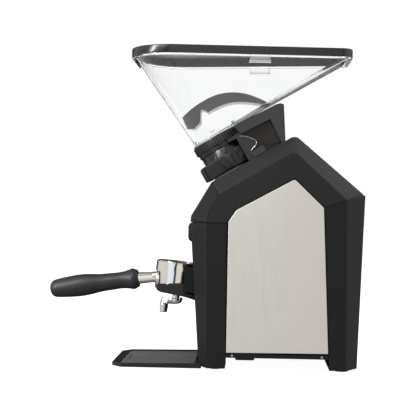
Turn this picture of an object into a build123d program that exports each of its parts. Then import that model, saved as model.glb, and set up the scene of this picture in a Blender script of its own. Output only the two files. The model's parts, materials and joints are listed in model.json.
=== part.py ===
from build123d import *
import os
from math import cos, hypot, radians, sin

# Burr coffee grinder with a tilted motor, a bean hopper on a tilted collar and a portafilter
# held in a fork. Millimetres. +X is the rear, -X the user's side, +Y the grinder's far side,
# +Z up, with the origin on the table under the middle of the overall box.

# ---- body outline, seen from the side (X, Z) ----
BODY_HALF_WIDTH = 93.0          # flat side faces
STRIP_HALF_WIDTH = 66.0         # raised middle strip between the bevels
WALL = 3.0
SIDE_WALL = 4.0
PILLAR_BOTTOM = 3.0
FRONT_SPLIT = 214.5             # head cover meets the front pillars here
LIP_TOP = 223.5                 # upright lip under the sloped visor
STRIP_PROFILE = [(-4.2, PILLAR_BOTTOM), (-18.5, FRONT_SPLIT), (-18.3, LIP_TOP), (12.0, 274.6),
                 (134.5, 345.0), (238.3, 256.6), (229.1, PILLAR_BOTTOM)]
CREASE_PROFILE = [(9.5, PILLAR_BOTTOM), (5.6, FRONT_SPLIT), (5.4, LIP_TOP), (22.8, 255.9),
                  (133.2, 320.0), (209.5, 249.8), (210.9, PILLAR_BOTTOM)]
ROOF_TILT = 30.0

# ---- side panels ----
PANEL_PROFILE = [(37.4, 26.2), (38.3, 216.9), (49.7, 233.5), (133.8, 279.4), (176.2, 238.7),
                 (185.1, 27.2)]
PANEL_GAP = 1.5
PANEL_SHEET = 1.5
LINER_THICK = 2.5

# ---- front recess and base ----
RECESS_HALF_WIDTH = 42.0
RECESS_BACK = 30.0
FRONT_PILLAR_END = 35.9
BASE_BOTTOM = 19.0
BASE_TOP = 22.0

# ---- tilted grinding stack: u up the roof, n along the axis, measured from the roof ----
ROOF_CORNER = (12.0, 274.6)
AXIS_FROM_CORNER = 40.4
KNOB_RADIUS = 50.0
KNOB_LOW, KNOB_HIGH = 5.0, 27.0
HUB_HIGH = 38.8
FLANGE_LOW, FLANGE_HIGH, FLANGE_RADIUS = 39.6, 45.4, 40.2
RING_LOW, RING_HIGH, RING_RADIUS = 45.8, 59.1, 42.7
RING_RIBS = 56
NECK_RADIUS = 37.0
NECK_LOW, NECK_HIGH = 46.2, 62.0
THROAT_BORE, THROAT_RADIUS = 25.5, 28.8
SKIRT_RADIUS = 33.4             # threaded skirt under the knob
HOLDER_RADIUS = 37.0            # upper burr's holder, screwed up and down by the skirt
RUNNING_GAP = 0.35
SHAFT_RADIUS = 5.0
MOTOR_RADIUS = 41.0
MOTOR_TOP, MOTOR_END = -58.0, -186.0
CHAMBER_RADIUS, CHAMBER_BORE = 40.0, 37.4
CHAMBER_TOP = -3.3
CHAMBER_FLOOR = -40.0
BURR_RADIUS, BURR_EYE = 27.0, 14.0
BURR_THICK = 6.0
UPPER_BURR_TOP = -13.0
BURR_GAP = 0.4
APEX_RADIUS = 11.0
ADJUST_TRAVEL = 1.5

# ---- hopper and lid ----
HOPPER_TOP = 463.0
HOPPER_FRONT, HOPPER_REAR = -109.0, 214.5
HOPPER_FRONT_HALF, HOPPER_REAR_HALF = 86.0, 52.0
HOPPER_WALL = 2.6
LID_OVERHANG = 4.6
LID_TOP = 475.5
LID_WALL = 2.5

# ---- portafilter ----
RIM_CENTRE = (-38.5, 151.0)
BOWL_TILT = 6.5
RIM_RADIUS = 35.0
BOWL_RADIUS, BOWL_BORE = 33.4, 30.8
RIM_BAND = 15.0
BOWL_DEPTH = 43.2
BASKET_RADIUS, BASKET_DEPTH = 30.2, 27.0
HANDLE_TIP = (-238.6, 106.9)
HANDLE_ROOT = (-101.3, 126.2)
ROD_TILT = 4.6
ROD_RADIUS, ROD_END_RADIUS = 9.0, 7.2
SOCKET_RADIUS, SOCKET_DEPTH = 8.4, 26.4
SPOUT_RADIUS = 9.0
TANG_RADIUS = 5.3

# ---- fork that holds the portafilter ----
FORK_FRONT, FORK_TOP = -70.0, 121.2
FORK_INNER, FORK_OUTER = 37.0, 41.8
FORK_SHOULDER = (-29.0, 147.0)  # the arms rise here, behind the middle of the bowl

# ---- tray ----
TRAY_FRONT, TRAY_REAR, TRAY_TONGUE = -133.0, -5.2, 27.0
TRAY_EAR = 1.0                  # rear corners, which pass the legs' bevels
TRAY_HALF_WIDTH, TRAY_TONGUE_HALF = 78.0, 40.0
TRAY_BOTTOM, TRAY_FLOOR, TRAY_WELL = 0.3, 1.6, 2.7
TRAY_FRONT_TOP, TRAY_REAR_TOP = 5.6, 7.8
TRAY_CHAMFER_X, TRAY_CHAMFER_Y = 14.5, 17.0

# ---- rear fittings ----
INLET_HEIGHT, INLET_SIZE = 62.0, (24.0, 31.0)
ROCKER_HEIGHT, ROCKER_SIZE = 104.0, (19.0, 13.0)


def side_plane(y):
    """Plane parallel to the side view at the given Y, local x = X and local y = Z."""
    return Plane((0, y, 0), x_dir=(1, 0, 0), z_dir=(0, -1, 0))


def side_face(points, y=0.0):
    """Face with corners at (X, Z) points, lying at the given Y."""
    return side_plane(y) * make_face(Polyline(*points, close=True))


def side_prism(points, half):
    """Prism of a side outline, reaching the same distance to both sides of Y = 0."""
    return extrude(side_face(points), half, both=True)


def side_slab(points, y_from, y_to):
    """Prism of a side outline between two Y values."""
    return extrude(side_face(points, y_to), y_to - y_from)


def block(x0, x1, y0, y1, z0, z1):
    """Box between two corners."""
    return Pos((x0 + x1) / 2, (y0 + y1) / 2, (z0 + z1) / 2) * Box(x1 - x0, y1 - y0, z1 - z0)


def grown(points, distance):
    """Convex outline moved outwards by a distance, corner by corner."""
    count = len(points)
    area = sum(points[i][0] * points[(i + 1) % count][1] - points[(i + 1) % count][0] * points[i][1]
               for i in range(count))
    turn = 1 if area > 0 else -1
    result = []
    for i, (x, z) in enumerate(points):
        before, after = points[i - 1], points[(i + 1) % count]
        first = Vector(x - before[0], z - before[1]).normalized()
        second = Vector(after[0] - x, after[1] - z).normalized()
        normal_1 = Vector(first.Y, -first.X) * turn
        normal_2 = Vector(second.Y, -second.X) * turn
        move = (normal_1 + normal_2) * (distance / (1 + normal_1.dot(normal_2)))
        result.append((x + move.X, z + move.Y))
    return result


def round_topped(points, radius, y=0.0):
    """Side face whose highest corner is rounded."""
    face = make_face(Polyline(*points, close=True))
    face = fillet([face.vertices().sort_by(Axis.Y)[-1]], radius)
    return side_plane(y) * face


def body_block(inset=0.0, side_inset=0.0):
    """Bevelled body envelope, optionally shrunk by a wall thickness."""
    strip = grown(STRIP_PROFILE, -inset)
    crease = grown(CREASE_PROFILE, -inset)
    half = BODY_HALF_WIDTH - side_inset
    edge = STRIP_HALF_WIDTH - 0.4 * side_inset
    radius = APEX_RADIUS - inset
    middle = extrude(round_topped(strip, radius), edge, both=True)
    near = loft([round_topped(strip, radius, -edge), round_topped(crease, radius, -half)], ruled=True)
    return middle + near + mirror(near, Plane.XZ)


ENVELOPE = body_block()
CAVITY = body_block(WALL, SIDE_WALL)
SHELL = ENVELOPE - CAVITY
PANEL_OPENING = grown(PANEL_PROFILE, PANEL_GAP)
REAR_SPLIT = [(177.9, 239.6), (209.6, 250.0), (260.0, 266.8)]
VISOR_REGION = [(-60, LIP_TOP), (6.2, LIP_TOP), (23.4, 255.9), (12.2, 275.4), (-60, 320)]


def both_sides(shape):
    """The shape and its mirror image across the middle plane."""
    return shape + mirror(shape, Plane.XZ)


# ---- tilted frame ----
AXIS_ROOT = (ROOF_CORNER[0] + AXIS_FROM_CORNER * cos(radians(ROOF_TILT)), 0,
             ROOF_CORNER[1] + AXIS_FROM_CORNER * sin(radians(ROOF_TILT)))
STACK = Plane(AXIS_ROOT, x_dir=(cos(radians(ROOF_TILT)), 0, sin(radians(ROOF_TILT))),
              z_dir=(-sin(radians(ROOF_TILT)), 0, cos(radians(ROOF_TILT)))).location


def disc(radius, low, high):
    """Cylinder on the local Z axis between two heights."""
    return Pos(0, 0, (low + high) / 2) * Cylinder(radius, high - low)


def ring(outer, inner, low, high):
    """Tube on the local Z axis between two heights."""
    return disc(outer, low, high) - disc(inner, low - 1, high + 1)


def stack_xz(u, n):
    """Side-view (X, Z) of a point of the tilted frame."""
    tilt = radians(ROOF_TILT)
    return (AXIS_ROOT[0] + u * cos(tilt) - n * sin(tilt), AXIS_ROOT[2] + u * sin(tilt) + n * cos(tilt))


# ---- body panels ----
def head_cover():
    region = [(-60, FRONT_SPLIT + 0.5), (FRONT_PILLAR_END, FRONT_SPLIT + 0.5), (60, 200), (150, 200),
              *[(x, z + 0.3) for x, z in REAR_SPLIT], (260, 420), (-60, 420)]
    cover = SHELL & side_prism(region, 120)
    cover -= side_prism(PANEL_OPENING, 120)
    cover -= side_prism(VISOR_REGION, 120)
    cover += block(-17, 33, -60, 60, FRONT_SPLIT + 0.5, FRONT_SPLIT + 3.5) & ENVELOPE
    cover -= STACK * disc(HOLDER_RADIUS + 0.4, -20, 20)
    cover -= Pos(*CHUTE_LOW) * Cylinder(15, 20)
    return cover


def visor():
    region = grown(VISOR_REGION, -0.4)
    sheet = SHELL & side_prism(region, 120)
    sheet -= VISOR_FRAME * Box(WINDOW_SIZE[0], WINDOW_SIZE[1], 20)
    for y in BUTTON_PLACES:
        sheet -= VISOR_FRAME * Pos(-19, y, 0) * Cylinder(BUTTON_RADIUS + 0.4, 20)
    return sheet


VISOR_MIDDLE = ((-18.3 + 12.0) / 2, 0, (LIP_TOP + 274.6) / 2)
VISOR_FRAME = Plane(VISOR_MIDDLE, x_dir=(30.3 / 59.4, 0, 51.1 / 59.4),
                    z_dir=(-51.1 / 59.4, 0, 30.3 / 59.4)).location
WINDOW_SIZE = (24.0, 70.0)
BUTTON_PLACES = (-24.0, 0.0, 24.0)
BUTTON_RADIUS = 6.0


def display_window():
    return VISOR_FRAME * Pos(0, 0, -1.7) * Box(WINDOW_SIZE[0] - 0.3, WINDOW_SIZE[1] - 0.3, 2.4)


def display_board():
    board = VISOR_FRAME * (Pos(-3, 0, -9.5) * Box(40, 92, 1.6) - Pos(-18, 0, -9.5) * Box(20, 31, 4))
    pillars = [VISOR_FRAME * Pos(15, y, -5.9) * Cylinder(2.5, 5.6) for y in (-41, 41)]
    return board + pillars


def set_button(y):
    cap = VISOR_FRAME * Pos(-19, y, -0.7) * Cylinder(BUTTON_RADIUS, 4.6)
    stem = VISOR_FRAME * Pos(-19, y, -4.2) * Cylinder(2.0, 3.0)
    return cap + stem


def front_pillar(side):
    """Hollow leg beside the front recess; side is -1 for the near one, 1 for the far one."""
    zone = block(-60, FRONT_PILLAR_END, RECESS_HALF_WIDTH, 120, 0, FRONT_SPLIT - 0.5)
    hollow = block(-60, 60, RECESS_HALF_WIDTH + WALL, 120, PILLAR_BOTTOM + WALL, FRONT_SPLIT + 1)
    leg = (ENVELOPE & zone) - (CAVITY & hollow)
    return leg if side > 0 else mirror(leg, Plane.XZ)


def rear_cover():
    region = [(187.1, 0), *REAR_SPLIT, (260, 0)]
    cover = SHELL & side_prism([(x, z - (0.3 if z > 200 else 0)) for x, z in region], 120)
    cover -= side_prism(PANEL_OPENING, 120)
    cover -= rear_frame(INLET_HEIGHT) * Box(30, INLET_SIZE[1] + 0.4, INLET_SIZE[0] + 0.4)
    cover -= rear_frame(ROCKER_HEIGHT) * Box(30, ROCKER_SIZE[0] + 4.4, ROCKER_SIZE[1] + 4.4)
    for row in range(9):
        slot = rear_frame(150 + 7 * row) * Box(30, 62, 3)
        cover -= slot
    return cover


def rear_frame(height):
    """Frame on the rear wall at a height, x pointing out of the wall."""
    lean = (238.3 - 229.1) / (256.6 - PILLAR_BOTTOM)
    x = 229.1 + (height - PILLAR_BOTTOM) * lean
    return Plane((x, 0, height), x_dir=(1, 0, -lean), z_dir=(lean, 0, 1)).location


def base_plate():
    zone = block(FRONT_PILLAR_END + 0.2, 185.7, -120, 120, BASE_BOTTOM, PANEL_PROFILE[0][1] - PANEL_GAP)
    hollow = block(0, 260, -120, 120, BASE_TOP, 60)
    plate = (ENVELOPE & zone) - (CAVITY & hollow)
    tongue = block(RECESS_BACK + 3.2, FRONT_PILLAR_END + 0.2, -40, 40, BASE_BOTTOM, BASE_TOP)
    posts = [Pos(x, y, BASE_TOP + 4) * Cylinder(3.5, 8) for x in (66, 154) for y in (8, 66)]
    plate = plate + tongue + posts
    for x in SCREW_PLACES:
        plate -= both_sides(Pos(x, -BODY_HALF_WIDTH + 2, BASE_TOP + 0.3) * Rot(90, 0, 0) * Cylinder(0.9, 6))
    return plate


def side_liner(side):
    """Inner wall that the steel panel is mounted on."""
    outline = grown(PANEL_PROFILE, 6)
    low = BODY_HALF_WIDTH - SIDE_WALL
    sheet = side_slab(outline, low - LINER_THICK, low) & block(0, 260, 0, 120, BASE_TOP + 1.5, 400)
    return sheet if side > 0 else mirror(sheet, Plane.XZ)


def side_panel(side):
    """Brushed steel panel: a flat sheet with a folded rim."""
    top = BODY_HALF_WIDTH + 0.2
    foot = BODY_HALF_WIDTH - SIDE_WALL
    face = make_face(Polyline(*PANEL_PROFILE, close=True))
    face = fillet([v for v in face.vertices() if v.Z > -1 and v.Y > 210], 4)
    sheet = extrude(side_plane(top) * face, top - foot)
    pocket = side_slab(grown(PANEL_PROFILE, -1.6), foot - 1, top - PANEL_SHEET)
    panel = sheet - pocket
    return panel if side > 0 else mirror(panel, Plane.XZ)


def recess_panel():
    wall = block(RECESS_BACK, RECESS_BACK + 3, -RECESS_HALF_WIDTH - 4, RECESS_HALF_WIDTH + 4, 10, 213)
    wall -= block(0, 60, 41.9, 60, 0, 300) + block(0, 60, -60, -41.9, 0, 300)
    wall -= Pos(RECESS_BACK, 0, PLUNGER_HEIGHT) * Rot(0, 90, 0) * Cylinder(PLUNGER_RADIUS + 0.08, 30)
    return wall


def rubber_feet():
    return Part() + [Pos(x, y, PILLAR_BOTTOM / 2) * Cylinder(radius, PILLAR_BOTTOM)
                     for x, radius in ((21, 8), (206, 10)) for y in (-70, 70)]


SCREW_PLACES = (46, 176)


def panel_screws():
    screws = Part()
    for x in SCREW_PLACES:
        head = Pos(x, -BODY_HALF_WIDTH - 0.5, BASE_TOP + 0.3) * Rot(90, 0, 0) * Cylinder(1.6, 1.0)
        shank = Pos(x, -BODY_HALF_WIDTH + 1.9, BASE_TOP + 0.3) * Rot(90, 0, 0) * Cylinder(0.9, 3.8)
        screws += both_sides(head + shank)
    return screws


def power_inlet():
    frame = rear_frame(INLET_HEIGHT)
    body = Pos(-10, 0, 0) * Box(22, INLET_SIZE[1], INLET_SIZE[0])
    flange = Pos(0.75, 0, 0) * Box(1.5, INLET_SIZE[1] + 5, INLET_SIZE[0] + 5)
    cavity = Pos(-6, 0, 0) * Box(20, INLET_SIZE[1] - 6, INLET_SIZE[0] - 7)
    blades = [Pos(-10.5, y, z) * Box(11, 2, 4) for y, z in ((-7, -1), (0, 3), (7, -1))]
    return frame * (body + flange - cavity + blades)


def rocker_frame():
    frame = rear_frame(ROCKER_HEIGHT)
    body = Pos(-6, 0, 0) * Box(14, ROCKER_SIZE[0] + 4, ROCKER_SIZE[1] + 4)
    hole = Pos(-3.5, 0, 0) * Box(14, ROCKER_SIZE[0] + 0.6, ROCKER_SIZE[1] + 0.6)
    return frame * (body - hole)


def power_rocker():
    """Rocker that tips sideways about an upright pin behind its middle."""
    frame = rear_frame(ROCKER_HEIGHT)
    half = ROCKER_SIZE[0] / 2
    outline = Polyline((-5.2, -2.0), (-1.0, -half + 1.2), (1.0, -half + 1.2), (1.0, 0), (2.6, half - 1.4),
                       (-1.0, half - 1.2), (-5.2, 2.0), close=True)
    lens = extrude(make_face(outline), ROCKER_SIZE[1] / 2 - 0.5, both=True)
    return frame * lens


# ---- grinding stack ----
def throat():
    """Fixed tube that carries the hopper, with the flange that the lock ring turns on."""
    tube = ring(THROAT_RADIUS, THROAT_BORE, -2, FLANGE_HIGH)
    flange = ring(FLANGE_RADIUS, THROAT_BORE, FLANGE_LOW, FLANGE_HIGH)
    return STACK * (tube + flange)


def adjust_knob():
    """Twelve-sided adjusting knob with a raised pointer, a hub above it and a threaded skirt below it."""
    plan = Rot(0, 0, 8) * RegularPolygon(KNOB_RADIUS, 12)
    grip = Pos(0, 0, KNOB_LOW) * extrude(plan, KNOB_HIGH - KNOB_LOW)
    grip = chamfer(grip.edges().filter_by(GeomType.LINE).group_by(Axis.Z)[-1], 2.5)
    for i in range(6):
        scoop = Rot(0, 0, 60 * i + 23) * Pos(KNOB_RADIUS + 22, 0, 12) * Cylinder(25, 40)
        grip -= scoop
    pointer = Pos(14, -43, 19.5) * Box(28.5, 11, 19.6) & disc(KNOB_RADIUS - 0.3, 0, 40)
    hub = disc(38.5, KNOB_HIGH - 1, HUB_HIGH)
    skirt = disc(SKIRT_RADIUS, -5, KNOB_LOW + 1)
    return STACK * (grip + pointer + hub + skirt - disc(THROAT_RADIUS + RUNNING_GAP, -10, 60))


def upper_burr_holder():
    """Carrier screwed up and down by the knob's skirt."""
    sleeve = ring(HOLDER_RADIUS, SKIRT_RADIUS + RUNNING_GAP, -10, 3)
    plate = ring(HOLDER_RADIUS, BURR_EYE + 3, UPPER_BURR_TOP, -7.5)
    return STACK * (sleeve + plate)


def burr(low, high, face_down):
    """Ring burr with radial teeth cut into its cutting face."""
    blank = ring(BURR_RADIUS, BURR_EYE, low, high)
    face = low if face_down else high
    for i in range(16):
        blank -= Rot(0, 0, 22.5 * i) * Pos(21, 0, face) * Rot(0, 0, 14) * Box(18, 1.6, 1.8)
    return blank


LOWER_BURR_BOTTOM = UPPER_BURR_TOP - 2 * BURR_THICK - BURR_GAP


def upper_burr():
    return STACK * burr(UPPER_BURR_TOP - BURR_THICK, UPPER_BURR_TOP, True)


def lower_burr():
    return STACK * burr(LOWER_BURR_BOTTOM, LOWER_BURR_BOTTOM + BURR_THICK, False)


def burr_carrier():
    """Hub and disc under the lower burr, with four sweepers for the ground coffee."""
    top = LOWER_BURR_BOTTOM
    carrier = disc(BURR_RADIUS + 1, top - 6, top) + disc(9, top - 10, top + 4)
    for i in range(4):
        carrier += Rot(0, 0, 90 * i) * Pos(31.5, 0, top - 3) * Box(9, 3, 6)
    return STACK * (carrier - disc(SHAFT_RADIUS, -60, 0))


def burr_chamber():
    """Cup around the burrs, open on top, with an outlet in its front wall."""
    cup = disc(CHAMBER_RADIUS, CHAMBER_FLOOR - 4, CHAMBER_TOP) - disc(CHAMBER_BORE, CHAMBER_FLOOR, 5)
    boss = disc(18, -52, CHAMBER_FLOOR - 4)
    cup = cup + boss - disc(SHAFT_RADIUS + 0.6, -60, 0)
    outlet = Pos(-38, 0, -31) * Box(16, 22, 14)
    return STACK * (cup - outlet)


CHUTE_HIGH = (stack_xz(-41, -31)[0], 0, stack_xz(-41, -31)[1])
CHUTE_LOW = (-4.0, 0, FRONT_SPLIT - 1)


def chute():
    """Square duct from the chamber's outlet down to the nozzle."""
    drop = (CHUTE_LOW[0] - CHUTE_HIGH[0], CHUTE_LOW[2] - CHUTE_HIGH[2])
    length = hypot(*drop)
    frame = Plane(CHUTE_HIGH, x_dir=(0, 1, 0), z_dir=(drop[0] / length, 0, drop[1] / length)).location
    duct = Pos(0, 0, length / 2) * Box(26, 20, length) - Pos(0, 0, length / 2) * Box(22, 16, length + 2)
    duct = frame * duct
    keep = block(-60, 60, -30, 30, FRONT_SPLIT + 3.7, 300)
    return (duct & keep) - STACK * disc(CHAMBER_RADIUS + 0.1, -60, 20)


def nozzle():
    """Rounded nose over the basket, with an open throat."""
    nose = Pos(-5.4, 0, 198.6) * Cylinder(20.5, 30.8)
    nose = fillet(nose.edges().filter_by(GeomType.CIRCLE), 8)
    neck = Pos(CHUTE_LOW[0], 0, FRONT_SPLIT + 1.0) * Cylinder(14.8, 5)
    bore = Pos(CHUTE_LOW[0], 0, 200) * Cylinder(11.5, 60)
    return nose + neck - bore


def clump_flap():
    """Slotted rubber disc that breaks up clumps at the chute's end."""
    flap = Pos(CHUTE_LOW[0], 0, 205) * Cylinder(11.4, 1.2)
    for i in range(3):
        flap -= Pos(CHUTE_LOW[0], 0, 205) * Rot(0, 0, 60 * i) * Box(17, 0.8, 4)
    return flap


def motor_mount():
    """Bulkhead across the body that carries the chamber and the motor."""
    half = BODY_HALF_WIDTH - SIDE_WALL - LINER_THICK
    plate = Pos(0, 0, -55) * Box(100, 2 * half, 6) - disc(9.5, -60, -40)
    return STACK * plate


def motor_housing():
    can = ring(MOTOR_RADIUS, MOTOR_RADIUS - 3, MOTOR_END + 6, MOTOR_TOP)
    lid = ring(MOTOR_RADIUS, 9.5, MOTOR_TOP - 3, MOTOR_TOP)
    seat = ring(16, 13, MOTOR_TOP - 12, MOTOR_TOP - 3)
    can = can + lid + seat
    for i in range(8):
        can -= Rot(0, 0, 45 * i) * Pos(MOTOR_RADIUS, 0, MOTOR_END + 18) * Box(12, 16, 10)
    return STACK * can


def motor_end():
    plate = disc(MOTOR_RADIUS, MOTOR_END, MOTOR_END + 6) - disc(9.5, MOTOR_END - 1, MOTOR_END + 8)
    seat = ring(16, 13, MOTOR_END + 6, MOTOR_END + 15)
    return STACK * (plate + seat)


def bearing(low):
    return STACK * ring(13, SHAFT_RADIUS + 0.03, low, low + 8)


def stator():
    core = ring(MOTOR_RADIUS - 3, 25, -150, -84)
    for i in range(12):
        core -= Rot(0, 0, 30 * i) * Pos(31, 0, -117) * Box(9, 5, 80)
    return STACK * core


def rotor_core():
    core = ring(24.4, SHAFT_RADIUS, -150, -84)
    commutator = ring(12, SHAFT_RADIUS, -82.5, -74)
    return STACK * (core + commutator + ring(8, SHAFT_RADIUS, -84, -82.5))


def motor_fan():
    fan = ring(10, SHAFT_RADIUS, -168, -154) + ring(30, SHAFT_RADIUS, -156, -154)
    for i in range(9):
        fan += Rot(0, 0, 40 * i) * Pos(20, 0, -161) * Rot(0, 0, 18) * Box(19, 1.6, 12)
    return STACK * fan


def drive_shaft():
    return STACK * disc(SHAFT_RADIUS, MOTOR_END + 3, -21.5)


def lock_ring():
    """Ribbed ring that locks the hopper's neck."""
    body = ring(RING_RADIUS - 1.0, NECK_RADIUS + RUNNING_GAP, RING_LOW, RING_HIGH)
    rib = Pos(RING_RADIUS - 1.0, 0, (RING_LOW + RING_HIGH) / 2) * Box(2.0, 2.2, RING_HIGH - RING_LOW - 1.6)
    ribs = [Rot(0, 0, 360 / RING_RIBS * i) * rib for i in range(RING_RIBS)]
    return STACK * (body + ribs)


# ---- hopper bracket ----
BRACKET_INNER, BRACKET_OUTER = 47.0, 53.0
BRACKET_BEVEL = 50.0             # the cheek's upper edge and corner are set back to here
BRACKET_WALL, BRACKET_GUSSET = (37.0, 40.0), 43.5


def stack_face(points):
    """Side face with corners given as (u, n) in the tilted frame."""
    return make_face(Polyline(*[stack_xz(*point) for point in points], close=True))


def bracket_cheek():
    """Cheek of the bracket: an arm over the collar and a strut behind it, both with a raised inner band."""
    outline = stack_face([(28, 57.4), (99, 54.8), (106, 53), (109.6, 49), (85, 0.3), (79, 0.3), (81, 39.7),
                          (33, 42.3)])
    raised = stack_face([(30, 50.6), (97.5, 47.4), (103.5, 46.6), (83.5, 0.3), (79, 0.3), (81, 39.7),
                         (33, 42.3)])
    cheek = extrude(side_plane(BRACKET_BEVEL) * outline, BRACKET_BEVEL - BRACKET_INNER)
    band = extrude(side_plane(BRACKET_OUTER) * raised, BRACKET_OUTER - BRACKET_BEVEL)
    return cheek + band


def bracket_inner_wall():
    """Wall set back behind the cheek, with a rounded tongue beside the knob and a curved gusset."""
    wall = stack_face([(24, 47), (90, 47), (84, 0.3), (24, 0.3)])
    plate = extrude(side_plane(BRACKET_WALL[1]) * wall, BRACKET_WALL[1] - BRACKET_WALL[0])
    tongue = stack_face([(23, 41), (30, 39.6), (36, 36), (41, 30.6), (45, 25), (46.2, 21.4), (44.6, 18.4),
                         (40, 15.8), (34, 14), (34, 0.3), (23, 0.3)])
    plate += extrude(side_plane(BRACKET_INNER) * tongue, BRACKET_INNER - BRACKET_WALL[1])
    gusset = stack_face([(53, 15), (55.5, 19.2), (59, 22.8), (63, 25.6), (67.5, 28), (72, 29.8), (77, 31),
                         (80, 31), (80, 3), (66, 5.5)])
    return plate + extrude(side_plane(BRACKET_GUSSET) * gusset, BRACKET_GUSSET - BRACKET_WALL[1])


def hopper_bracket():
    """Two cheeks with inner walls, and cross walls that carry the throat's flange and stand on the roof."""
    wall = [(103, 54), (109.6, 49), (85, 0.3), (79.6, 0.3)]
    bridge = [(30, 57), (99, 54.8), (106, 53), (101, 46), (30, 46)]
    web = [(10, 45.2), (66, 45.2), (66, 40), (10, 40)]
    cross = [extrude(side_plane(0) * stack_face(points), BRACKET_INNER, both=True)
             for points in (wall, bridge, web)]
    frame = both_sides(bracket_cheek()) + both_sides(bracket_inner_wall()) + cross
    frame -= STACK * disc(RING_RADIUS + 1.2, FLANGE_HIGH - 0.3, 80)
    frame -= STACK * disc(FLANGE_RADIUS + 0.02, 20, FLANGE_HIGH)
    return frame - STACK * disc(KNOB_RADIUS + 1.5, -1, HUB_HIGH + 0.6)


def interlock_block():
    """Switch housing on the roof that senses the hopper."""
    return STACK * Pos(42, -BRACKET_OUTER - 3.2, 5.7) * Box(21, 6, 10.0)


def interlock_plunger():
    """Pin that rises from the roof towards the hopper's floor behind the ring."""
    return STACK * (disc(4, 0.2, 34) + disc(7, 0.2, 6)).moved(Location((70, 0, 0)))


# ---- hopper and lid ----
def hopper_outline(height, grow):
    """Plan of the hopper's mouth: wide and round at the front, narrower at the rear."""
    corners = [(HOPPER_FRONT, -HOPPER_FRONT_HALF - 4), (HOPPER_FRONT, HOPPER_FRONT_HALF + 4),
               (HOPPER_REAR, HOPPER_REAR_HALF), (HOPPER_REAR, -HOPPER_REAR_HALF)]
    face = make_face(Polyline(*grown(corners, grow), close=True))
    face = fillet(face.vertices().sort_by(Axis.X)[:2], 60 + grow)
    face = fillet(face.vertices().sort_by(Axis.X)[-2:], 14 + grow)
    return Pos(0, 0, height) * face


def neck_outline(radius, height):
    """Nearly round outline with the same eight edges as the hopper's mouth."""
    face = Rectangle(2 * radius, 2 * radius)
    face = fillet(face.vertices(), radius * 0.93)
    return STACK * (Pos(0, 0, height) * face)


def funnel(inset):
    sections = [neck_outline(NECK_RADIUS - inset, NECK_HIGH), hopper_outline(HOPPER_TOP, -inset)]
    return loft(sections, ruled=True)


def hopper():
    shell = funnel(0.0) - funnel(HOPPER_WALL)
    rim = extrude(hopper_outline(HOPPER_TOP, 0.0), 5)
    rim -= extrude(hopper_outline(HOPPER_TOP - 1, -HOPPER_WALL), 8)
    flange = extrude(hopper_outline(HOPPER_TOP - 2.6, LID_OVERHANG - 0.6), 2.2)
    flange -= extrude(hopper_outline(HOPPER_TOP - 4, -1.0), 8)
    neck = STACK * ring(NECK_RADIUS, NECK_RADIUS - HOPPER_WALL, NECK_LOW, NECK_HIGH)
    return shell + rim + flange + neck


def lid():
    outer = extrude(hopper_outline(HOPPER_TOP, LID_OVERHANG), LID_TOP - HOPPER_TOP)
    outer = fillet(outer.faces().sort_by(Axis.Z)[-1].edges(), 2.0)
    inner = extrude(hopper_outline(HOPPER_TOP - 1, 1.2), LID_TOP - LID_WALL - HOPPER_TOP + 1)
    return outer - inner


def lid_seal():
    """Soft lip inside the hopper's mouth, carried by the lid."""
    top = LID_TOP - LID_WALL
    outer = extrude(hopper_outline(HOPPER_TOP + 1.5, -HOPPER_WALL - 0.4), top - HOPPER_TOP - 1.5)
    return outer - extrude(hopper_outline(HOPPER_TOP, -HOPPER_WALL - 2.6), 20)


GUARD_TOP = [(-36, 373), (-16, 391.5), (1, 402), (17, 409), (41, 412.5), (58, 411), (77, 405), (97, 396),
             (122, 384)]
GUARD_LOW = [(118, 381.5), (97, 392.5), (85, 395), (70, 397), (53, 398), (34, 396), (20, 391), (3, 381.5)]
GUARD_NOTCH = [(-3, 385.5), (-8.5, 385), (-9, 365.5), (-18, 356.2), (-27.5, 356)]


def finger_guard():
    """Arched bridge over the neck that keeps fingers away from the burrs."""
    crown = Spline(*GUARD_TOP)
    belly = Spline(*GUARD_LOW)
    rear = Line(GUARD_TOP[-1], GUARD_LOW[0])
    post = Polyline(GUARD_LOW[-1], *GUARD_NOTCH, GUARD_TOP[0])
    arch = extrude(side_plane(0) * make_face(Curve() + [crown, belly, rear, post]), 20, both=True)
    return arch & funnel(HOPPER_WALL + 0.2)


# ---- portafilter ----
BOWL = Plane((RIM_CENTRE[0], 0, RIM_CENTRE[1]), x_dir=(cos(radians(BOWL_TILT)), 0, -sin(radians(BOWL_TILT))),
             z_dir=(sin(radians(BOWL_TILT)), 0, cos(radians(BOWL_TILT)))).location


def rod_socket(radius):
    """Boss on the bowl that the handle's rod screws into."""
    return Pos(-BOWL_RADIUS, 0, -SOCKET_DEPTH) * Rot(0, 90 - BOWL_TILT - ROD_TILT, 0) * Cylinder(radius, 10)


def filter_bowl():
    band = disc(RIM_RADIUS, -RIM_BAND, 0)
    body = disc(BOWL_RADIUS, -BOWL_DEPTH, -RIM_BAND)
    body = fillet(body.faces().sort_by(Axis.Z)[0].edges(), 3)
    ears = Pos(0, 0, -7.5) * Box(18, 2 * RIM_RADIUS + 7, 7)
    bore = disc(BOWL_BORE, -BOWL_DEPTH + 4, 1) + disc(6, -60, 0)
    return BOWL * (band + body + (ears & disc(RIM_RADIUS + 3.5, -20, 5)) + rod_socket(SOCKET_RADIUS) - bore)


def filter_basket():
    cup = disc(BASKET_RADIUS, -BASKET_DEPTH, 1.4) - disc(BASKET_RADIUS - 1.0, -BASKET_DEPTH + 1, 3)
    lip = ring(BASKET_RADIUS + 2.6, BASKET_RADIUS - 0.5, 0.1, 1.4)
    return BOWL * (cup + lip)


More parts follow.
